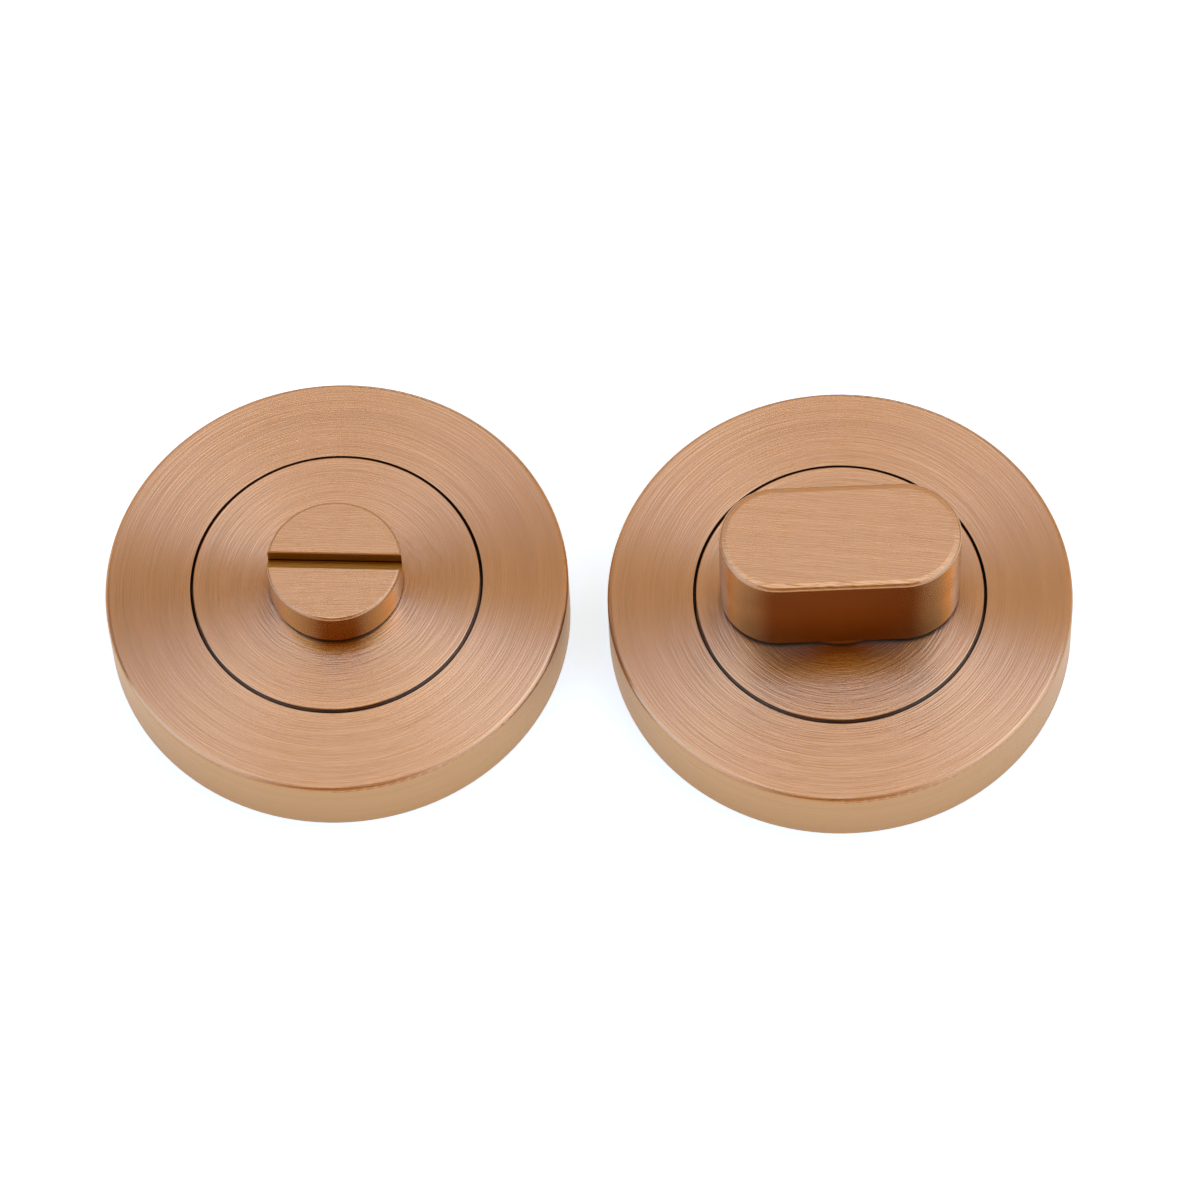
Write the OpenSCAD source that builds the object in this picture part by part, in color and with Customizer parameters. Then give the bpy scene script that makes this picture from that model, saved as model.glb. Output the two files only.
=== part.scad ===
// Bathroom thumb turn lock: its two halves side by side, faces up.
// The thumb turn half goes on the room side of the door. The release half goes
// on the other side, where a coin in its slot draws the bolt back.
// Each half is a cast base, a cover ring that screws down over it, and a
// turning head whose shank runs in a nylon bush and is held at the back by a
// wave washer, a flat washer and a circlip. A square spindle joins the halves.
// Heights run from the back faces, which lie against the door.

/* [Pair] */
// Space between the two cover rings
pair_gap = 4.4; // [1:0.1:40]

/* [Cover ring] */
// Outer diameter
cover_d = 52; // [50.5:0.5:62]
// Height above the door
cover_h = 8.1; // [7:0.1:12]
// Thickness of the top plate
cover_top_t = 1.5; // [1:0.1:2]
// Thickness of the screwed skirt
skirt_t = 2; // [1.4:0.1:2.3]
// Width of the ledge inside that seats on the base
ledge_w = 1.25; // [0.6:0.05:1.8]
// How far the top falls from its opening to its outer edge
cover_fall = 0.15; // [0:0.05:0.5]
// Rounding of the outer top edge
cover_edge_r = 0.5; // [0.1:0.05:0.9]
// Rounding of the outer bottom edge
cover_foot_r = 0.15; // [0.05:0.05:0.4]
// Gap between the cover ring and the disc of the base
ring_gap = 0.35; // [0.1:0.05:0.6]

/* [Base] */
// Diameter of the disc that shows inside the cover ring
disc_d = 32.2; // [28:0.1:33.4]
// How far the disc stands above the cover ring
disc_proud = 0.25; // [-0.3:0.05:0.8]
// Rounding of the disc's edge
disc_edge_r = 0.15; // [0.05:0.05:0.4]
// Height of the flange that the cover ring screws onto
flange_h = 4.4; // [3.6:0.1:4.8]
// Play between the flange and the skirt of the cover ring
screw_play = 0.1; // [0.05:0.01:0.2]
// Thickness of the cast walls
cast_wall = 1.8; // [1.2:0.1:2.4]
// Bevel in the corners of the hollows under the base
cast_bevel = 0.8; // [0.2:0.1:1.5]
// Number of ribs under the base
ribs = 6; // [4:2:8]
// Thickness of the ribs
rib_t = 1.2; // [0.8:0.1:2]
// How far the ribs stop short of the door
rib_gap = 0.6; // [0.2:0.1:1]
// Thickness of the hub around the bush
hub_wall = 2.2; // [1.2:0.1:4]

/* [Fixing screws] */
// Diameter of the screw holes
screw_hole_d = 4.2; // [3:0.1:5]
// Diameter of the countersunk screw heads
screw_head_d = 7; // [5.5:0.1:7.4]
// Wall of the cast boss around a screw head
screw_boss_wall = 0.8; // [0.4:0.1:1.5]

/* [Thumb turn] */
// Length of the thumb turn
turn_l = 26.8; // [20:0.1:31]
// Width of the thumb turn, which is also the diameter of its round ends
turn_w = 13.1; // [11:0.1:18]
// Height of the thumb turn above its collar
turn_h = 12.4; // [8:0.1:20]
// Width of the eased band round its top face
turn_ease_w = 0.8; // [0.3:0.1:2]
// How far the top falls across that band
turn_ease_drop = 0.12; // [0.02:0.02:0.4]
// Rounding of its top edge
turn_edge_r = 0.4; // [0.1:0.05:1]
// Rounding of its bottom edge
turn_foot_r = 0.2; // [0.05:0.05:0.5]
// Diameter of the collar under it
collar_d = 13.5; // [12:0.1:18]
// Height of that collar
collar_h = 0.2; // [0.1:0.05:1]
// Angle that the thumb turn stands at, turned from the line of the pair
turn_angle = 3.8; // [-90:0.1:90]

/* [Release drum] */
// Diameter of the drum
drum_d = 15.1; // [14:0.1:20]
// Height of the drum
drum_h = 4.7; // [3.5:0.05:8]
// Rounding of its top edge
drum_edge_r = 0.35; // [0.1:0.05:0.8]
// Width of the coin slot
slot_w = 1.8; // [1.2:0.1:2.6]
// Depth of the coin slot
slot_depth = 1.65; // [1:0.05:2.2]
// Chamfer along the edges of the slot
slot_edge = 0.12; // [0.05:0.01:0.3]

/* [Shank and bush] */
// Diameter of the shank of each head
shank_d = 10; // [9.5:0.1:11]
// Wall of the bush
bush_wall = 0.93; // [0.6:0.01:1.4]
// Thickness of the flange of the bush
bush_flange_t = 0.3; // [0.2:0.05:0.8]
// Diameter of the flange of the bush
bush_flange_d = 13.4; // [12.8:0.1:14]
// Play between the bush and its seat in the base
seat_play = 0.02; // [0.01:0.01:0.05]
// Running play around and under each head
run_play = 0.05; // [0.02:0.01:0.08]

/* [Washers and circlip] */
// Thickness of the flat washer
washer_t = 0.5; // [0.3:0.1:1]
// Outer diameter of both washers
washer_d = 16; // [14.5:0.1:18]
// Height of the wave washer
wave_h = 0.7; // [0.4:0.05:1]
// Thickness of the spring strip of the wave washer
wave_t = 0.25; // [0.15:0.05:0.35]
// Number of waves
waves = 3; // [2:1:4]
// Thickness of the circlip
circlip_t = 1; // [0.6:0.1:1.2]
// Depth of the groove that the circlip sits in
groove_depth = 0.2; // [0.1:0.05:0.4]
// Length of shank behind the groove
shank_tail = 0.85; // [0.5:0.05:1.5]
// How far the shank stays clear of the door
door_gap = 0.5; // [0.1:0.1:1]

/* [Spindle socket] */
// Side of the square spindle
spindle_side = 5; // [4.5:0.1:5.6]
// Play of the spindle in its socket
spindle_play = 0.1; // [0.05:0.05:0.3]
// Depth of the socket
socket_depth = 9; // [5:0.5:10]

/* [Hidden] */
$fn = 96;

copper = "#c9986f";
steel = "#9a9ea3";
nylon = "#2c2622";

// How far a cut runs past the face that it opens
cut_over = 0.5;
// Play along the shank between the groove and the circlip
circlip_play = 0.05;

// Across the pair
half_x = (cover_d + pair_gap) / 2;

// Cover ring
cover_r = cover_d / 2;
skirt_inner_r = cover_r - skirt_t;
ledge_inner_r = skirt_inner_r - ledge_w;
disc_r = disc_d / 2;
opening_r = disc_r + ring_gap;
cover_edge_z = cover_h - cover_fall;

// Base
disc_top_z = cover_h + disc_proud;
flange_r = skirt_inner_r - screw_play;
cavity_r = disc_r - cast_wall;
screw_x = (disc_r + flange_r) / 2;

// Shank, bush and seat
shank_r = shank_d / 2;
groove_r = shank_r - groove_depth;
bush_inner_r = shank_r + run_play;
bush_outer_r = bush_inner_r + bush_wall;
seat_r = bush_outer_r + seat_play;
hub_r = seat_r + hub_wall;
head_z = disc_top_z + bush_flange_t + run_play;

// Stack behind the hub, upwards from the door
groove_z = door_gap + shank_tail;
circlip_z = groove_z + circlip_play;
washer_z = circlip_z + circlip_t;
wave_z = washer_z + washer_t;
hub_z = wave_z + wave_h;

// Circlip: an eccentric ring with two lugs beside its gap
circlip_inner_r = groove_r + 0.02;
circlip_back_w = 0.36 * shank_r;
circlip_front_w = 0.22 * shank_r;
lug_r = 0.3 * shank_r;
lug_hole_r = 0.15 * shank_r;
lug_turn = 22;
circlip_gap = 0.5 * shank_r;

// A thin sliver left outside a round of radius r at the upper outer corner
// of a section, with the corner at [x, z]. The top edge may climb inwards.
module upper_corner(x, z, r, slope = 0) {
    reach = r + cut_over;
    translate([x - r, z + slope * r - r * sqrt(1 + slope * slope)])
        difference() {
            polygon([[0, 0], [reach, 0], [reach, reach], [slope * reach, reach]]);
            circle(r);
        }
}

// The same at a lower outer corner
module lower_corner(x, z, r) {
    translate([x - r, z + r])
        mirror([0, 1])
            difference() {
                square(r + cut_over);
                circle(r);
            }
}

module at_turn() {
    translate([half_x, 0, 0])
        children();
}

module at_release() {
    translate([-half_x, 0, 0])
        children();
}

// Cover ring: a turned cap with a skirt, a ledge and a round opening
module cover_ring() {
    slope = cover_fall / (cover_r - opening_r);
    color(copper)
        rotate_extrude()
            difference() {
                polygon([
                    [opening_r, 0],
                    [cover_r, 0],
                    [cover_r, cover_edge_z],
                    [opening_r, cover_h]
                ]);
                translate([0, -cut_over])
                    square([skirt_inner_r, flange_h + cut_over]);
                square([ledge_inner_r, cover_h - cover_top_t]);
                upper_corner(cover_r, cover_edge_z, cover_edge_r, slope);
                lower_corner(cover_r, 0, cover_foot_r);
            }
}

// Section of a hollow that opens downwards, with bevelled upper corners
module hollow(inner_r, outer_r, top_z) {
    bevel = min(cast_bevel, (outer_r - inner_r) / 3);
    polygon([
        [inner_r, -cut_over],
        [outer_r, -cut_over],
        [outer_r, top_z - bevel],
        [outer_r - bevel, top_z],
        [inner_r + bevel, top_z],
        [inner_r, top_z - bevel]
    ]);
}

// Base: a hollow casting with the disc on top and a flange around it
module base_shell() {
    rotate_extrude()
        difference() {
            union() {
                square([disc_r, disc_top_z]);
                square([flange_r, flange_h]);
            }
            upper_corner(disc_r, disc_top_z, disc_edge_r);
            translate([0, -cut_over])
                square([seat_r, disc_top_z + 2 * cut_over]);
            translate([0, -cut_over])
                square([hub_r, hub_z + cut_over]);
            hollow(hub_r, cavity_r, disc_top_z - cast_wall);
            hollow(disc_r, flange_r - cast_wall, flange_h - cast_wall);
        }
}

// A rib that runs outwards from inner_r to outer_r, between two heights
module rib(inner_r, outer_r, low_z, high_z) {
    translate([inner_r, -rib_t / 2, low_z])
        cube([outer_r - inner_r, rib_t, high_z - low_z]);
}

module base_ribs() {
    for (i = [0 : ribs - 1])
        rotate(360 / ribs * (i + 0.5)) {
            rib(hub_r - hub_wall / 2, disc_r - cast_wall / 2, hub_z, disc_top_z - cast_wall / 2);
            rib(disc_r - cast_wall / 2, flange_r - cast_wall / 2, rib_gap, flange_h - cast_wall / 2);
        }
}

// Round bosses around the two fixing screws, trimmed by the flange
module screw_bosses() {
    intersection() {
        cylinder(r = flange_r - cast_wall / 2, h = flange_h - cast_wall / 2);
        for (side = [-1, 1])
            translate([side * screw_x, 0, 0])
                cylinder(d = screw_head_d + 2 * screw_boss_wall, h = flange_h);
    }
}

module screw_hole() {
    sink_depth = (screw_head_d - screw_hole_d) / 2;
    translate([0, 0, -cut_over])
        cylinder(d = screw_hole_d, h = flange_h + 2 * cut_over);
    translate([0, 0, flange_h - sink_depth])
        cylinder(d1 = screw_hole_d, d2 = screw_head_d, h = sink_depth);
}

module base() {
    color(copper)
        difference() {
            union() {
                base_shell();
                base_ribs();
                screw_bosses();
            }
            for (side = [-1, 1])
                translate([side * screw_x, 0, 0])
                    screw_hole();
        }
}

// Bush: a sleeve in the hub with a flange on the disc
module bush() {
    color(nylon)
        rotate_extrude()
            union() {
                translate([bush_inner_r, hub_z])
                    square([bush_wall, disc_top_z + bush_flange_t - hub_z]);
                translate([bush_inner_r, disc_top_z])
                    square([bush_flange_d / 2 - bush_inner_r, bush_flange_t]);
            }
}

// Shank of a head: grooved for the circlip and chamfered at its end
module shank() {
    end_chamfer = 0.3;
    rotate_extrude()
        difference() {
            translate([0, door_gap])
                square([shank_r, head_z + collar_h - door_gap]);
            translate([groove_r, groove_z])
                square([shank_r, circlip_t + 2 * circlip_play]);
            translate([shank_r, door_gap])
                rotate(45)
                    square(end_chamfer * sqrt(2), center = true);
        }
}

module spindle_socket() {
    side = spindle_side + spindle_play;
    translate([-side / 2, -side / 2, door_gap - cut_over])
        cube([side, side, socket_depth + cut_over]);
}

// Thumb turn: half of its section, from the axis outwards
module turn_half_section() {
    side = turn_w / 2;
    shoulder_z = turn_h - turn_ease_drop;
    difference() {
        polygon([
            [0, 0],
            [side, 0],
            [side, shoulder_z],
            [side - turn_ease_w, turn_h],
            [0, turn_h]
        ]);
        upper_corner(side, shoulder_z, turn_edge_r, turn_ease_drop / turn_ease_w);
        lower_corner(side, 0, turn_foot_r);
    }
}

// The grip: a straight middle between two half-round ends
module turn_grip() {
    straight = turn_l - turn_w;
    rotate([90, 0, 90])
        linear_extrude(straight, center = true) {
            turn_half_section();
            mirror([1, 0])
                turn_half_section();
        }
    for (side = [0, 180])
        rotate(side)
            translate([straight / 2, 0, 0])
                rotate(-90)
                    rotate_extrude(angle = 180)
                        turn_half_section();
}

module turn_head() {
    color(copper)
        rotate(turn_angle)
            difference() {
                union() {
                    shank();
                    translate([0, 0, head_z])
                        cylinder(d = collar_d, h = collar_h);
                    translate([0, 0, head_z + collar_h])
                        turn_grip();
                }
                spindle_socket();
            }
}

// Release drum: a round head with a coin slot right across its face
module coin_slot() {
    top_z = head_z + drum_h;
    length = drum_d + 2 * cut_over;
    rotate([90, 0, 90])
        linear_extrude(length, center = true)
            polygon([
                [-slot_w / 2, top_z - slot_depth],
                [slot_w / 2, top_z - slot_depth],
                [slot_w / 2, top_z - slot_edge],
                [slot_w / 2 + slot_edge, top_z],
                [slot_w / 2 + slot_edge, top_z + cut_over],
                [-slot_w / 2 - slot_edge, top_z + cut_over],
                [-slot_w / 2 - slot_edge, top_z],
                [-slot_w / 2, top_z - slot_edge]
            ]);
}

module drum_head() {
    color(copper)
        difference() {
            union() {
                shank();
                rotate_extrude()
                    difference() {
                        translate([0, head_z])
                            square([drum_d / 2, drum_h]);
                        upper_corner(drum_d / 2, head_z + drum_h, drum_edge_r);
                    }
            }
            coin_slot();
            spindle_socket();
        }
}

// Wave washer: a flat ring bent into waves between the hub and the flat washer
wave_steps = 72;
wave_inner_r = shank_r + 0.2;
wave_middle_z = wave_z + wave_h / 2;
wave_rise = (wave_h - wave_t) / 2;

function wave_point(r, step, lift) =
    let (a = 360 * step / wave_steps)
    [r * cos(a), r * sin(a), wave_middle_z + wave_rise * cos(waves * a) + lift];

// Four corners of the strip at one step: inner and outer, below and above
function wave_corners(step) = [
    wave_point(wave_inner_r, step, -wave_t / 2),
    wave_point(washer_d / 2, step, -wave_t / 2),
    wave_point(washer_d / 2, step, wave_t / 2),
    wave_point(wave_inner_r, step, wave_t / 2)
];

module wave_washer() {
    points = [for (step = [0 : wave_steps - 1]) each wave_corners(step)];
    faces = [
        for (step = [0 : wave_steps - 1], side = [0 : 3])
            let (
                here = 4 * step,
                next = 4 * ((step + 1) % wave_steps),
                other = (side + 1) % 4
            )
            each [
                [here + side, here + other, next + other],
                [here + side, next + other, next + side]
            ]
    ];
    color(steel)
        polyhedron(points, faces);
}

module flat_washer() {
    color(steel)
        translate([0, 0, washer_z])
            difference() {
                cylinder(d = washer_d, h = washer_t);
                translate([0, 0, -cut_over])
                    cylinder(r = shank_r + 0.1, h = washer_t + 2 * cut_over);
            }
}

module circlip() {
    outer_r = circlip_inner_r + (circlip_back_w + circlip_front_w) / 2;
    shift = (circlip_back_w - circlip_front_w) / 2;
    lug_y = circlip_inner_r + lug_r;
    color(steel)
        translate([0, 0, circlip_z])
            linear_extrude(circlip_t)
                difference() {
                    union() {
                        translate([0, shift])
                            circle(outer_r);
                        for (side = [-1, 1])
                            rotate(side * lug_turn)
                                translate([0, -lug_y])
                                    circle(lug_r);
                    }
                    circle(circlip_inner_r);
                    translate([-circlip_gap / 2, -2 * shank_r])
                        square([circlip_gap, 2 * shank_r]);
                    for (side = [-1, 1])
                        rotate(side * lug_turn)
                            translate([0, -lug_y])
                                circle(lug_hole_r);
                }
}

module turn_cover_ring() {
    at_turn()
        cover_ring();
}

module turn_base() {
    at_turn()
        base();
}

module turn_bush() {
    at_turn()
        bush();
}

module thumb_turn() {
    at_turn()
        turn_head();
}

module turn_wave_washer() {
    at_turn()
        wave_washer();
}

module turn_flat_washer() {
    at_turn()
        flat_washer();
}

module turn_circlip() {
    at_turn()
        rotate(turn_angle)
            circlip();
}

module release_cover_ring() {
    at_release()
        cover_ring();
}

module release_base() {
    at_release()
        base();
}

module release_bush() {
    at_release()
        bush();
}

module release_drum() {
    at_release()
        drum_head();
}

module release_wave_washer() {
    at_release()
        wave_washer();
}

module release_flat_washer() {
    at_release()
        flat_washer();
}

module release_circlip() {
    at_release()
        circlip();
}

turn_cover_ring();
turn_base();
turn_bush();
thumb_turn();
turn_wave_washer();
turn_flat_washer();
turn_circlip();
release_cover_ring();
release_base();
release_bush();
release_drum();
release_wave_washer();
release_flat_washer();
release_circlip();
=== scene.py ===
import math

import bpy
from mathutils import Matrix, Vector


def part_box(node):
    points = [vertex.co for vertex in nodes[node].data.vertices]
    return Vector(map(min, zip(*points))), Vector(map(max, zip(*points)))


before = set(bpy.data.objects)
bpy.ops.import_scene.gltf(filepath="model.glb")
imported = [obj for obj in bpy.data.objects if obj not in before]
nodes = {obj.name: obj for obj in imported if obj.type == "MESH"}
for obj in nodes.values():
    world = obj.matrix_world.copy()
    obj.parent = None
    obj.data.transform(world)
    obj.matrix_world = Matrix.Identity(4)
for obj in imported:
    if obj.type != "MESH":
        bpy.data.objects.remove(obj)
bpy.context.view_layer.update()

bpy.context.scene.view_settings.view_transform = "Standard"

camera = {
    "focalLength": 206.987,      # mm
    "sensorWidth": 36.0,
    "elevation": 61.452,         # degrees above the table
    "heading": 5.028,            # degrees round to the right from straight in front
    "roll": -3.281,
    "distance": 0.7804,
    "target": (0.00103, 0.00293, 0.0),
    "clip": (0.01, 20.0),
}


def placeCamera(s):
    elevation, heading, roll = (math.radians(s[name]) for name in ("elevation", "heading", "roll"))
    flat = Vector((math.sin(heading), -math.cos(heading), 0.0))
    back = flat * math.cos(elevation) + Vector((0.0, 0.0, math.sin(elevation)))
    right = Vector((0.0, 0.0, 1.0)).cross(back).normalized()
    up = back.cross(right)
    rolledRight = right * math.cos(roll) + up * math.sin(roll)
    rolledUp = up * math.cos(roll) - right * math.sin(roll)
    data = bpy.data.cameras.new("camera")
    data.lens = s["focalLength"]
    data.sensor_width = s["sensorWidth"]
    data.clip_start, data.clip_end = s["clip"]
    viewer = bpy.data.objects.new("camera", data)
    turned = Matrix((rolledRight, rolledUp, back)).transposed().to_4x4()
    viewer.matrix_world = Matrix.Translation(Vector(s["target"]) + back * s["distance"]) @ turned
    bpy.context.scene.collection.objects.link(viewer)
    bpy.context.scene.camera = viewer


placeCamera(camera)
print("camera placed")

mmInMetre = 1000.0


# Adds a shader node. A socket given as a value is linked, anything else is set on the socket.
def addNode(tree, kind, inputs=None, **settings):
    node = tree.nodes.new(kind)
    for name, value in settings.items():
        setattr(node, name, value)
    for socket, value in (inputs or {}).items():
        if isinstance(value, bpy.types.NodeSocket):
            tree.links.new(value, node.inputs[socket])
        else:
            node.inputs[socket].default_value = value
    return node


def mathNode(tree, operation, *values):
    return addNode(tree, "ShaderNodeMath", dict(enumerate(values)), operation=operation).outputs[0]


def vectorNode(tree, operation, *values):
    inputs = {"Scale" if operation == "SCALE" and i == 1 else i: v for i, v in enumerate(values)}
    outputs = addNode(tree, "ShaderNodeVectorMath", inputs, operation=operation).outputs
    return outputs["Value" if operation in ("DOT_PRODUCT", "LENGTH") else "Vector"]


# 0 below the first value, 1 above the second, and a smooth step between them
def smoothStep(tree, value, low, high):
    return addNode(
        tree, "ShaderNodeMapRange", {"Value": value, "From Min": low, "From Max": high},
        interpolation_type="SMOOTHSTEP",
    ).outputs["Result"]


# Mixes two colours, vectors or numbers by a factor. The node holds a set of sockets for each kind.
def mixNode(tree, kind, factor, first, second):
    firstSocket, outSocket = {"FLOAT": (2, 0), "VECTOR": (4, 1), "RGBA": (6, 2)}[kind]
    inputs = {0: factor, firstSocket: first, firstSocket + 1: second}
    return addNode(tree, "ShaderNodeMix", inputs, data_type=kind).outputs[outSocket]


def partsOf(tree, vector):
    return addNode(tree, "ShaderNodeSeparateXYZ", {"Vector": vector}).outputs


def joined(tree, x, y, z):
    return addNode(tree, "ShaderNodeCombineXYZ", {"X": x, "Y": y, "Z": z}).outputs[0]


def newGroup(name, inputs, outputs):
    group = bpy.data.node_groups.new(name, "ShaderNodeTree")
    for label, kind, value in inputs:
        socket = group.interface.new_socket(name=label, in_out="INPUT", socket_type=kind)
        if value is not None:
            socket.default_value = value
    for label in outputs:
        group.interface.new_socket(name=label, in_out="OUTPUT", socket_type="NodeSocketFloat")
    return group, addNode(group, "NodeGroupInput").outputs


def placeGroup(tree, group, inputs):
    return addNode(tree, "ShaderNodeGroup", inputs, node_tree=group).outputs


# Heights in the sky run from the horizon behind, 0, over the top, 90, to the horizon in front, 180.
# The sides run from -90, left, to 90, right. A pair of angles is where one tone turns to the next.
studio = {
    "heading": 5.0,                          # the lights stand square to the camera
    "horizon": (0.34, 0.22, 0.11, 1.0),      # foot of the wall behind
    "behind": (0.85, 0.72, 0.58, 1.0),       # that wall
    "gap": (0.76, 0.64, 0.46, 1.0),          # between that wall and the strip light
    "gapLeft": (0.17, 0.09, 0.03, 1.0),
    "gapRight": (0.50, 0.55, 0.60, 1.0),
    "strip": (2.70, 5.25, 13.0, 1.0),        # long soft light overhead, at its back
    "stripWarm": (2.00, 1.80, 0.80, 1.0),    # at its front
    "stripEnds": (0.40, 0.25, 0.10, 1.0),
    "front": (0.25, 0.12, 0.00, 1.0),        # unlit room on the camera's side
    "frontSides": (1.00, 1.60, 3.00, 1.0),   # boards that stand on both sides of it
    "frontLow": (0.70, 0.46, 0.24, 1.0),     # lit foot of that room
    "horizonTop": (8.0, 32.0),
    "behindTop": (50.0, 58.0),
    "stripBack": (61.0, 79.0),
    "stripFront": (82.0, 90.0),
    "stripWarmFrom": (64.0, 82.0),
    "stripTilt": 0.11,                       # how far the strip is skewed, degrees a degree
    "leftEnd": (0.0, 44.0),
    "rightEnd": (18.0, 80.0),
    "gapLeftFrom": (-5.0, 35.0),
    "gapRightFrom": (15.0, 58.0),
    "frontSidesFrom": (12.0, 30.0),
    "frontLowFrom": (128.0, 150.0),
}


def lightStudio(s):
    world = bpy.data.worlds.new("studio")
    world.use_nodes = True
    tree = world.node_tree
    tree.nodes.clear()
    direction = addNode(tree, "ShaderNodeTexCoord").outputs["Generated"]
    heading = math.radians(s["heading"])
    right = vectorNode(tree, "DOT_PRODUCT", direction, (math.cos(heading), math.sin(heading), 0.0))
    back = vectorNode(tree, "DOT_PRODUCT", direction, (-math.sin(heading), math.cos(heading), 0.0))
    height = partsOf(tree, direction)["Z"]
    over = mathNode(tree, "DEGREES", mathNode(tree, "ARCTAN2", height, back))
    aside = mathNode(tree, "DEGREES", mathNode(tree, "ARCSINE", right))
    over = mathNode(tree, "SUBTRACT", over, mathNode(tree, "MULTIPLY", aside, s["stripTilt"]))
    left = mathNode(tree, "MULTIPLY", aside, -1.0)
    ends = mathNode(tree, "MAXIMUM", smoothStep(tree, left, *s["leftEnd"]),
                    smoothStep(tree, aside, *s["rightEnd"]))
    gap = mixNode(tree, "RGBA", smoothStep(tree, left, *s["gapLeftFrom"]), s["gap"], s["gapLeft"])
    gap = mixNode(tree, "RGBA", smoothStep(tree, aside, *s["gapRightFrom"]), gap, s["gapRight"])
    strip = mixNode(tree, "RGBA", smoothStep(tree, over, *s["stripWarmFrom"]), s["strip"], s["stripWarm"])
    strip = mixNode(tree, "RGBA", ends, strip, s["stripEnds"])
    wide = smoothStep(tree, mathNode(tree, "ABSOLUTE", aside), *s["frontSidesFrom"])
    front = mixNode(tree, "RGBA", wide, s["front"], s["frontSides"])
    front = mixNode(tree, "RGBA", smoothStep(tree, over, *s["frontLowFrom"]), front, s["frontLow"])
    sky = mixNode(tree, "RGBA", smoothStep(tree, over, *s["horizonTop"]), s["horizon"], s["behind"])
    sky = mixNode(tree, "RGBA", smoothStep(tree, over, *s["behindTop"]), sky, gap)
    sky = mixNode(tree, "RGBA", smoothStep(tree, over, *s["stripBack"]), sky, strip)
    sky = mixNode(tree, "RGBA", smoothStep(tree, over, *s["stripFront"]), sky, front)
    background = addNode(tree, "ShaderNodeBackground", {"Color": sky, "Strength": 1.0})
    addNode(tree, "ShaderNodeOutputWorld", {"Surface": background.outputs[0]})
    bpy.context.scene.world = world


table = {
    "halfSize": 3.0,
    "drop": 0.00002,                 # m below the roses, so that the faces don't fight
    "colour": (0.95, 0.95, 0.95, 1.0),
    "evenWhite": (0.49, 0.575, 0.585, 1.0),      # seen and mirrored, but it lights nothing
}


# A flat square: x and y run from minus to plus the half size, at one height
def layTable(s):
    half, z = s["halfSize"], -s["drop"]
    corners = [(-half, -half, z), (half, -half, z), (half, half, z), (-half, half, z)]
    mesh = bpy.data.meshes.new("table")
    mesh.from_pydata(corners, [], [(0, 1, 2, 3)])
    top = bpy.data.objects.new("table", mesh)
    bpy.context.scene.collection.objects.link(top)
    material = bpy.data.materials.new("whiteTable")
    material.use_nodes = True
    tree = material.node_tree
    tree.nodes.clear()
    rays = addNode(tree, "ShaderNodeLightPath").outputs
    seen = mathNode(tree, "MAXIMUM", rays["Is Camera Ray"],
                    mathNode(tree, "MAXIMUM", rays["Is Glossy Ray"], rays["Is Transmission Ray"]))
    lit = addNode(tree, "ShaderNodeBsdfDiffuse", {"Color": s["colour"]})
    even = addNode(tree, "ShaderNodeEmission", {"Color": s["evenWhite"], "Strength": seen})
    surface = addNode(tree, "ShaderNodeAddShader", {0: lit.outputs[0], 1: even.outputs[0]})
    addNode(tree, "ShaderNodeOutputMaterial", {"Surface": surface.outputs[0]})
    mesh.materials.append(material)


lightStudio(studio)
layTable(table)
print("studio lit and table laid")


# Streaks are three noises of different widths, added up by their shares, and bands are one more.
# Each is squeezed across the brushing and drawn out along it.
streakLayers = {                     # width and length against those given
    "Fine": (1.0, 1.0),
    "Middle": (1.8, 2.4),
    "Coarse": (6.0, 3.0),
}


def makeBrushing(layers=streakLayers):
    group, given = newGroup("brushing", (
        ("Place", "NodeSocketVector", None),           # mm, X across the brushing
        ("Streak width", "NodeSocketFloat", 0.14),
        ("Streak length", "NodeSocketFloat", 5.0),
        ("Fine", "NodeSocketFloat", 0.3),
        ("Middle", "NodeSocketFloat", 0.4),
        ("Coarse", "NodeSocketFloat", 0.3),
        ("Band width", "NodeSocketFloat", 1.2),
        ("Band length", "NodeSocketFloat", 40.0),
    ), ("Streaks", "Bands"))
    place = partsOf(group, given["Place"])

    def drawnOut(width, length):
        along = [mathNode(group, "DIVIDE", place[name], length) for name in ("Y", "Z")]
        spot = joined(group, mathNode(group, "DIVIDE", place["X"], width), *along)
        return addNode(group, "ShaderNodeTexNoise", {
            "Vector": spot, "Scale": 1.0, "Detail": 1.0, "Roughness": 0.5,
        }).outputs["Fac"]

    streaks = 0.0
    for layer, (widthShare, lengthShare) in layers.items():
        width = mathNode(group, "MULTIPLY", given["Streak width"], widthShare)
        length = mathNode(group, "MULTIPLY", given["Streak length"], lengthShare)
        streaks = mathNode(group, "MULTIPLY_ADD", drawnOut(width, length), given[layer], streaks)
    addNode(group, "NodeGroupOutput", {
        "Streaks": streaks,
        "Bands": drawnOut(given["Band width"], given["Band length"]),
    })
    return group


# Grain is fine noise, and mottle is noise ten times as coarse
grainLayers = {                      # scale and detail
    "Grain": (1.0, 3.0),
    "Mottle": (0.1, 2.0),
}


def makeGrain(layers=grainLayers):
    group, given = newGroup("grain", (
        ("Place", "NodeSocketVector", None),           # m
        ("Size", "NodeSocketFloat", 0.15),             # mm
    ), layers)
    spot = vectorNode(group, "SCALE", given["Place"], mathNode(group, "DIVIDE", mmInMetre, given["Size"]))
    noises = {}
    for layer, (scale, detail) in layers.items():
        noise = addNode(group, "ShaderNodeTexNoise", {"Vector": spot, "Scale": scale, "Detail": detail})
        noises[layer] = noise.outputs["Fac"]
    addNode(group, "NodeGroupOutput", noises)
    return group


brushing = makeBrushing()
grain = makeGrain()


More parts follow.
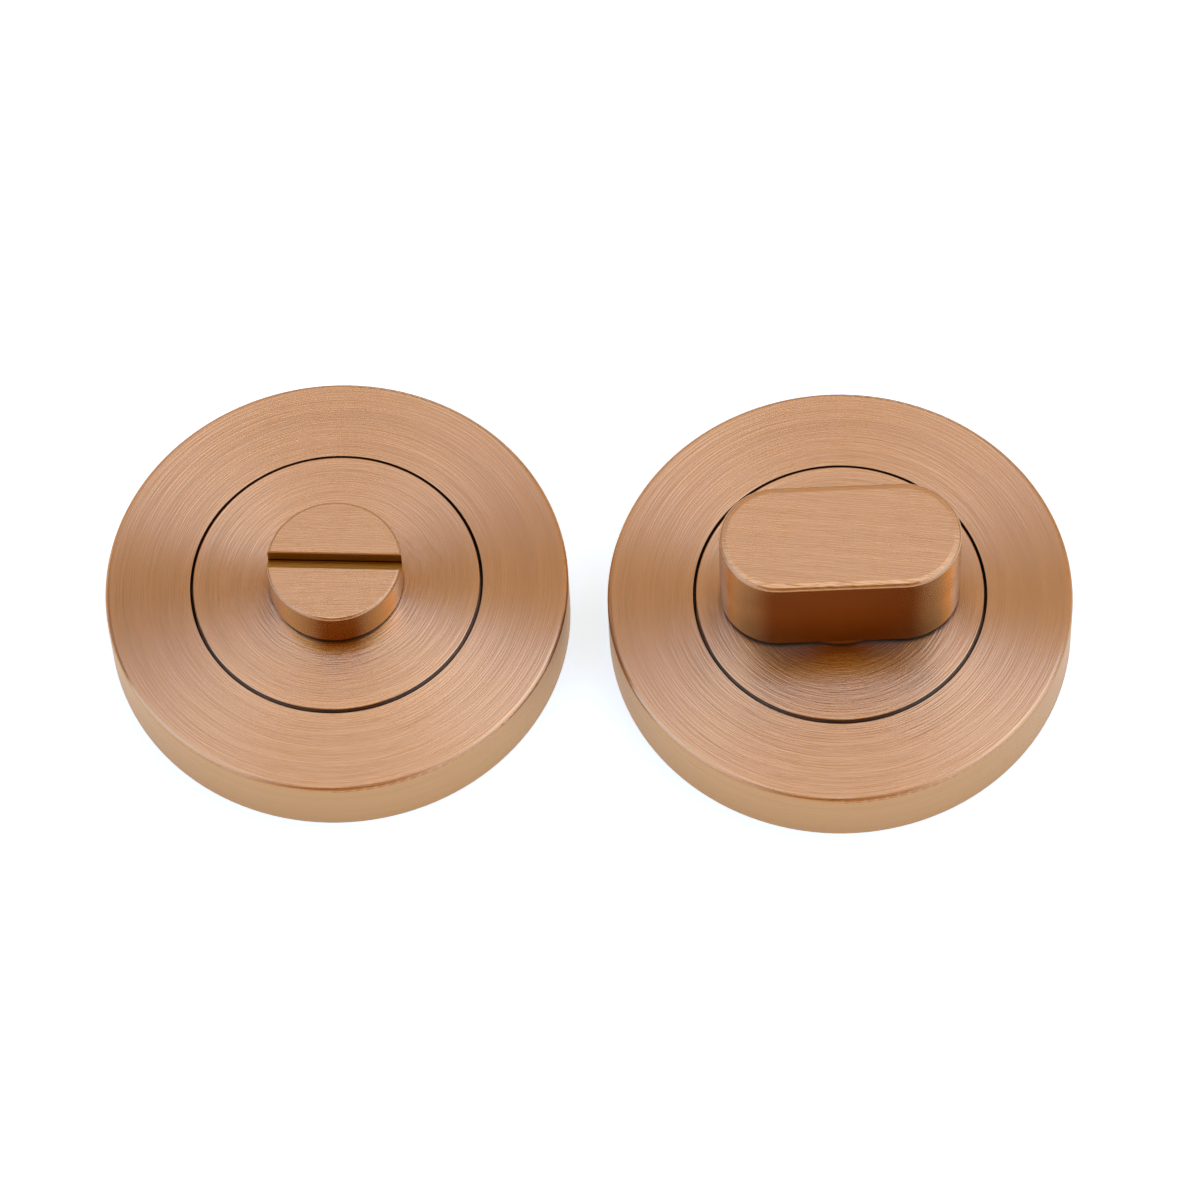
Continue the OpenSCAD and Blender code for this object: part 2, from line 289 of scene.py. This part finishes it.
# A multiplier around 1 that swings by each given share as its noise goes from 0 to 1
def toneNode(tree, *swings):
    total = 1.0
    for noise, share in swings:
        swing = mathNode(tree, "MULTIPLY", mathNode(tree, "SUBTRACT", noise, 0.5), 2.0 * share)
        total = mathNode(tree, "ADD", swing, total)
    return total


def newMaterial(name):
    material = bpy.data.materials.new(name)
    material.use_nodes = True
    material.node_tree.nodes.clear()
    return material, material.node_tree


copper = {
    "colour": (0.60, 0.32, 0.145),
    # Painted shade: the walls of the cover rings and discs take this darker copper than the tops
    "wallColour": (0.475, 0.245, 0.095),
    "roughness": 0.26,
    "anisotropy": 0.95,
    "edgeTint": (1.0, 0.95, 0.86, 1.0),       # of the reflection at a glancing angle
    "streakTone": 0.03,
    "bandTone": 0.07,
    "edgeHighlightTone": 0.05,                # painted highlight: how much lighter the copper is near the edges
    "edgeWidth": 1.6,                # mm
    "gapShade": 0.3,                 # painted shade: how light the copper is inside the gap round the disc
    "gapReach": (0.5, 0.2),          # mm from the gap's edge
    "wallFrom": (0.8, 0.2),          # upward part of the normal, from a flat face to a wall
    "arcRadius": 20.0,               # mm, where the streaks have the length that is given
}
castCopper = {
    "colour": (0.36, 0.21, 0.12),
    "roughness": 0.62,
    "grainSize": 0.25,               # mm
    "grainDepth": 0.00003,           # m
    "grainTone": 0.25,
    "mottleTone": 0.35,
    "fade": 0.0002,                  # m over which the brushing gives way to the casting
}
roundBrushing = {
    "Streak width": 0.14, "Streak length": 5.0, "Fine": 0.42, "Middle": 0.38, "Coarse": 0.25,
    "Band width": 1.3, "Band length": 60.0,
}
streakDepths = {"cover": 0.00007, "disc": 0.00006, "head": 0.000055}      # m


def finishCopper(tree, normal, brushed, colour, roughness, height, depth, s=copper):
    # The highlight spreads along the tangent, so the tangent lies across the brushing
    across = vectorNode(tree, "NORMALIZE", vectorNode(tree, "CROSS_PRODUCT", normal, brushed))
    tangent = addNode(tree, "ShaderNodeVectorTransform", {"Vector": across},
                      vector_type="VECTOR", convert_from="OBJECT", convert_to="WORLD").outputs[0]
    bump = addNode(tree, "ShaderNodeBump", {"Height": height, "Distance": depth}).outputs[0]
    shader = addNode(tree, "ShaderNodeBsdfPrincipled", {
        "Base Color": colour, "Metallic": 1.0, "Roughness": roughness,
        "Anisotropic": s["anisotropy"], "Specular Tint": s["edgeTint"], "Tangent": tangent, "Normal": bump,
    })
    addNode(tree, "ShaderNodeOutputMaterial", {"Surface": shader.outputs[0]})


# Copper brushed round the axis of a rose. Across the brushing the place runs with the radius on a
# flat face and with the height on a wall. Near each edge, mm from the axis, the copper gets a
# painted highlight, and the first edge stands at the gap between disc and cover. Below castBelow,
# m, the copper is left as cast.
def turnedCopper(name, axis, edges, streakDepth, castBelow=None, s=copper, cast=castCopper):
    material, tree = newMaterial(name)
    given = addNode(tree, "ShaderNodeTexCoord").outputs
    fromAxis = vectorNode(tree, "SUBTRACT", given["Object"], (axis.x, axis.y, 0.0))
    height = partsOf(tree, fromAxis)["Z"]
    outward = vectorNode(tree, "MULTIPLY", fromAxis, (1.0, 1.0, 0.0))
    radius = vectorNode(tree, "LENGTH", outward)
    spoke = vectorNode(tree, "NORMALIZE", outward)
    brushed = vectorNode(tree, "CROSS_PRODUCT", (0.0, 0.0, 1.0), spoke)
    arc = partsOf(tree, vectorNode(tree, "SCALE", spoke, s["arcRadius"]))
    across = mathNode(tree, "MULTIPLY", mathNode(tree, "SUBTRACT", radius, height), mmInMetre)
    place = joined(tree, across, arc["X"], arc["Y"])
    marks = placeGroup(tree, brushing, {"Place": place, **roundBrushing})
    tone = toneNode(tree, (marks["Streaks"], s["streakTone"]), (marks["Bands"], s["bandTone"]))
    radiusMm = mathNode(tree, "MULTIPLY", radius, mmInMetre)
    # Painted highlight: the copper is lighter within edgeWidth of each edge
    for edge in edges:
        reach = mathNode(tree, "ABSOLUTE", mathNode(tree, "SUBTRACT", radiusMm, edge))
        near = smoothStep(tree, reach, s["edgeWidth"], 0.0)
        tone = mathNode(tree, "ADD", tone, mathNode(tree, "MULTIPLY", near, s["edgeHighlightTone"]))
    onWall = smoothStep(tree, partsOf(tree, given["Normal"])["Z"], *s["wallFrom"])
    # Painted shade on the walls inside the gap round the disc
    fromGap = mathNode(tree, "ABSOLUTE", mathNode(tree, "SUBTRACT", radiusMm, edges[0]))
    inGap = mathNode(tree, "MULTIPLY", onWall, smoothStep(tree, fromGap, *s["gapReach"]))
    tone = mathNode(tree, "MULTIPLY", tone, mixNode(tree, "FLOAT", inGap, 1.0, s["gapShade"]))
    # Painted shade: the walls get the darker copper, mixed in by the upward part of the normal
    colour = vectorNode(tree, "SCALE", mixNode(tree, "VECTOR", onWall, s["colour"], s["wallColour"]), tone)
    roughness, relief, depth = s["roughness"], marks["Streaks"], streakDepth
    if castBelow is not None:
        rough = placeGroup(tree, grain, {"Place": fromAxis, "Size": cast["grainSize"]})
        asCast = smoothStep(tree, height, castBelow, castBelow - cast["fade"])
        castTone = toneNode(tree, (rough["Mottle"], cast["mottleTone"]), (rough["Grain"], cast["grainTone"]))
        castColour = vectorNode(tree, "SCALE", cast["colour"], castTone)
        colour = mixNode(tree, "VECTOR", asCast, colour, castColour)
        roughness = mixNode(tree, "FLOAT", asCast, s["roughness"], cast["roughness"])
        relief = mixNode(tree, "FLOAT", asCast, marks["Streaks"], rough["Grain"])
        depth = mixNode(tree, "FLOAT", asCast, streakDepth, cast["grainDepth"])
    finishCopper(tree, given["Normal"], brushed, colour, roughness, relief, depth)
    return material


straightBrushing = {
    "Streak width": 0.14, "Streak length": 2.5, "Fine": 0.50, "Middle": 0.40, "Coarse": 0.10,
    "Band width": 1.0, "Band length": 30.0,
}
crossBrushing = {"Streak width": 0.3, "Streak length": 4.0, "Band width": 2.0, "Band length": 10.0}
headFinish = {
    "wallColour": (0.57, 0.32, 0.135),
    "wallRoughness": 0.14,
    "wallDepth": 0.000008,           # m
    "topFrom": (0.1, 0.4),           # upward part of the normal, from a wall to the top
    "rimRoughness": 0.17,            # on the rubbed rim round the top
    "rimFrom": (1.0, 2.0),           # degrees that the rubbed rim leans over, where it sets in
    "rimTo": (24.0, 2.0),            # and where it fades out
    "crossTone": 0.05,
    "crossAngle": 78.0,              # degrees from the main brushing
}

coinSlot = {
    "width": 1.8,                    # mm
    "depth": 1.65,
    # Painted light and shade: the slot's walls and floor take their own copper colours for the light in
    # there
    "wallColour": (0.60, 0.40, 0.10),
    "floorShadeColour": (0.36, 0.15, 0.02),      # painted shade: deeper and darker, as light in there has struck the copper more than once
    "roughness": 0.30,
    "corner": 0.16,                  # reach of the painted shade line along the lower corners, mm
    "cornerShadeTone": 0.1,
    "mouth": (0.1, 0.3),             # mm below the top, where the slot's painted colours set in
    "slack": 0.05,                   # mm past its walls and floor
}


# Where the coin slot is, and its painted light and shade: a golden colour on the walls, a deeper and
# darker one on the floor, and painted shade along the two lower corners
def slotPaintedColour(tree, parts, onTop, s):
    down = mathNode(tree, "SUBTRACT", s["top"], parts["Z"])
    fromWall = mathNode(tree, "SUBTRACT", s["width"] / 2, mathNode(tree, "ABSOLUTE", parts["Y"]))
    fromCorner = mathNode(tree, "MAXIMUM", fromWall, mathNode(tree, "SUBTRACT", s["depth"], down))
    # Painted shade along the two lower corners of the slot
    tone = mixNode(tree, "FLOAT", smoothStep(tree, fromCorner, s["corner"], 0.0), 1.0, s["cornerShadeTone"])
    colour = mixNode(tree, "VECTOR", onTop, s["wallColour"], s["floorShadeColour"])
    inSlot = mathNode(tree, "MULTIPLY", mathNode(tree, "GREATER_THAN", fromWall, -s["slack"]),
                      mathNode(tree, "LESS_THAN", down, s["depth"] + s["slack"]))
    inSlot = mathNode(tree, "MULTIPLY", inSlot, smoothStep(tree, down, *s["mouth"]))
    return inSlot, vectorNode(tree, "SCALE", colour, tone)


# Copper brushed in straight lines over the top, and round the head on its walls
def linedCopper(name, axis, angle, wall, slot=None, s=copper, head=headFinish):
    material, tree = newMaterial(name)
    given = addNode(tree, "ShaderNodeTexCoord").outputs
    normal = given["Normal"]
    fromAxis = vectorNode(tree, "SUBTRACT", given["Object"], (axis.x, axis.y, 0.0))
    place = vectorNode(tree, "SCALE", fromAxis, mmInMetre)
    parts = partsOf(tree, place)
    upward = partsOf(tree, normal)["Z"]
    onTop = smoothStep(tree, upward, *head["topFrom"])

    def ruled(degrees):
        turn = math.radians(degrees)
        along = (math.cos(turn), math.sin(turn), 0.0)
        aside = (-math.sin(turn), math.cos(turn), 0.0)
        across = vectorNode(tree, "DOT_PRODUCT", place, aside)
        return along, joined(tree, across, vectorNode(tree, "DOT_PRODUCT", place, along), 0.0)

    along, topPlace = ruled(angle)
    crossPlace = ruled(angle + head["crossAngle"])[1]
    wallPlace = joined(tree, parts["Z"], parts["X"], parts["Y"])
    wallBrushed = vectorNode(tree, "NORMALIZE", vectorNode(tree, "CROSS_PRODUCT", (0.0, 0.0, 1.0), normal))
    brushed = mixNode(tree, "VECTOR", onTop, wallBrushed, along)
    marks = placeGroup(tree, brushing, {
        "Place": mixNode(tree, "VECTOR", onTop, wallPlace, topPlace), **straightBrushing,
    })
    cross = placeGroup(tree, brushing, {"Place": crossPlace, **crossBrushing})
    crossShare = mathNode(tree, "MULTIPLY", onTop, head["crossTone"])
    tone = toneNode(tree, (marks["Streaks"], s["streakTone"]), (marks["Bands"], s["bandTone"]))
    crossSwing = mathNode(tree, "SUBTRACT", cross["Streaks"], 0.5)
    tone = mathNode(tree, "ADD", tone, mathNode(tree, "MULTIPLY", crossSwing, crossShare))
    # Painted shade and light by height on the head's walls
    upWall = smoothStep(tree, parts["Z"], *wall["heights"])
    wallShadingTone = mixNode(tree, "FLOAT", upWall, *wall["tones"])
    wallColour = vectorNode(tree, "SCALE", head["wallColour"], wallShadingTone)
    colour = mixNode(tree, "VECTOR", onTop, wallColour, s["colour"])
    lean = mathNode(tree, "DEGREES", mathNode(tree, "ARCCOSINE", upward))
    onRim = mathNode(tree, "MULTIPLY", smoothStep(tree, lean, *head["rimFrom"]),
                     smoothStep(tree, lean, *head["rimTo"]))
    roughness = mixNode(tree, "FLOAT", onTop, head["wallRoughness"], s["roughness"])
    roughness = mixNode(tree, "FLOAT", onRim, roughness, head["rimRoughness"])
    if slot:
        # Painted light and shade in the coin slot
        inSlot, inside = slotPaintedColour(tree, parts, onTop, slot)
        colour = mixNode(tree, "VECTOR", inSlot, colour, inside)
        roughness = mixNode(tree, "FLOAT", inSlot, roughness, slot["roughness"])
    colour = vectorNode(tree, "SCALE", colour, tone)
    depth = mixNode(tree, "FLOAT", onTop, head["wallDepth"], streakDepths["head"])
    finishCopper(tree, normal, brushed, colour, roughness, marks["Streaks"], depth)
    return material


nylon = {
    "dark": (0.006, 0.004, 0.003, 1.0),
    "pale": (0.016, 0.011, 0.008, 1.0),
    "specular": 0.25,
    "roughness": (0.42, 0.62),
    "grainSize": 0.12,               # mm
    "grainDepth": 0.000004,          # m
}
steel = {
    "colour": (0.56, 0.56, 0.57),
    "roughness": 0.36,
    "grainSize": 0.3,                # mm
    "rolledDepth": 0.000001,         # m
    "rolling": {"Streak width": 0.15, "Streak length": 8.0},
    "rolledTone": 0.15,
    "mottleTone": 0.2,
    "mottleGloss": 0.3,
}


def mouldedNylon(s=nylon):
    material, tree = newMaterial("darkNylon")
    place = addNode(tree, "ShaderNodeTexCoord").outputs["Object"]
    marks = placeGroup(tree, grain, {"Place": place, "Size": s["grainSize"]})
    shader = addNode(tree, "ShaderNodeBsdfPrincipled", {
        "Base Color": mixNode(tree, "RGBA", marks["Mottle"], s["dark"], s["pale"]),
        "Roughness": mixNode(tree, "FLOAT", marks["Grain"], *s["roughness"]),
        "Specular IOR Level": s["specular"],
        "Normal": addNode(tree, "ShaderNodeBump", {
            "Height": marks["Grain"], "Distance": s["grainDepth"],
        }).outputs[0],
    })
    addNode(tree, "ShaderNodeOutputMaterial", {"Surface": shader.outputs[0]})
    return material


# Rolled and zinc-plated strip: faint lines from the rolling and soft mottle from the plating
def rolledSteel(s=steel):
    material, tree = newMaterial("springSteel")
    place = addNode(tree, "ShaderNodeTexCoord").outputs["Object"]
    ruled = vectorNode(tree, "SCALE", place, mmInMetre)
    lines = placeGroup(tree, brushing, {"Place": ruled, **s["rolling"]})
    marks = placeGroup(tree, grain, {"Place": place, "Size": s["grainSize"]})
    tone = toneNode(tree, (lines["Streaks"], s["rolledTone"]), (marks["Mottle"], s["mottleTone"]))
    gloss = toneNode(tree, (marks["Mottle"], s["mottleGloss"]))
    shader = addNode(tree, "ShaderNodeBsdfPrincipled", {
        "Base Color": vectorNode(tree, "SCALE", s["colour"], tone), "Metallic": 1.0,
        "Roughness": mathNode(tree, "MULTIPLY", s["roughness"], gloss),
        "Normal": addNode(tree, "ShaderNodeBump", {
            "Height": lines["Streaks"], "Distance": s["rolledDepth"],
        }).outputs[0],
    })
    addNode(tree, "ShaderNodeOutputMaterial", {"Surface": shader.outputs[0]})
    return material


def dress(node, material):
    mesh = nodes[node].data
    mesh.materials.clear()
    mesh.materials.append(material)


roses = {
    "openingRadius": 16.45,          # mm
    "coverRadius": 26.0,
    "discRadius": 16.1,
    "castBelow": 0.0082,             # m, only the disc above this is brushed
    "knobBrushing": -4.4,            # degrees from the line of the pair
    "drumBrushing": 0.8,
}
# Painted shade and light on each head's wall: heights over which it changes tone, mm, and its tones
# below and above them. The knob's wall is painted darker towards its foot, the drum's lighter.
knobWallShading = {"heights": (9.5, 16.0), "tones": (0.70, 1.02)}
drumWallShading = {"heights": (8.5, 10.0), "tones": (1.10, 1.05)}


# Each head turns about the middle of its own cover ring
def axisOf(half):
    low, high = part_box(half + "_cover_ring")
    return (low + high) / 2


darkNylon = mouldedNylon()
springSteel = rolledSteel()
for half in ("turn", "release"):
    axis = axisOf(half)
    coverEdges = (roses["openingRadius"], roses["coverRadius"])
    discEdges = (roses["discRadius"],)
    dress(half + "_cover_ring", turnedCopper(half + "CoverCopper", axis, coverEdges, streakDepths["cover"]))
    dress(half + "_base", turnedCopper(half + "BaseCopper", axis, discEdges, streakDepths["disc"],
                                       roses["castBelow"]))
    dress(half + "_bush", darkNylon)
    for part in ("_wave_washer", "_flat_washer", "_circlip"):
        dress(half + part, springSteel)
dress("thumb_turn", linedCopper("thumbTurnCopper", axisOf("turn"), roses["knobBrushing"], knobWallShading))
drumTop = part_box("release_drum")[1].z * mmInMetre
drumSlot = {**coinSlot, "top": drumTop}
dress("release_drum", linedCopper("drumCopper", axisOf("release"), roses["drumBrushing"], drumWallShading,
                                  drumSlot))
print("copper, nylon and steel finishes assigned")
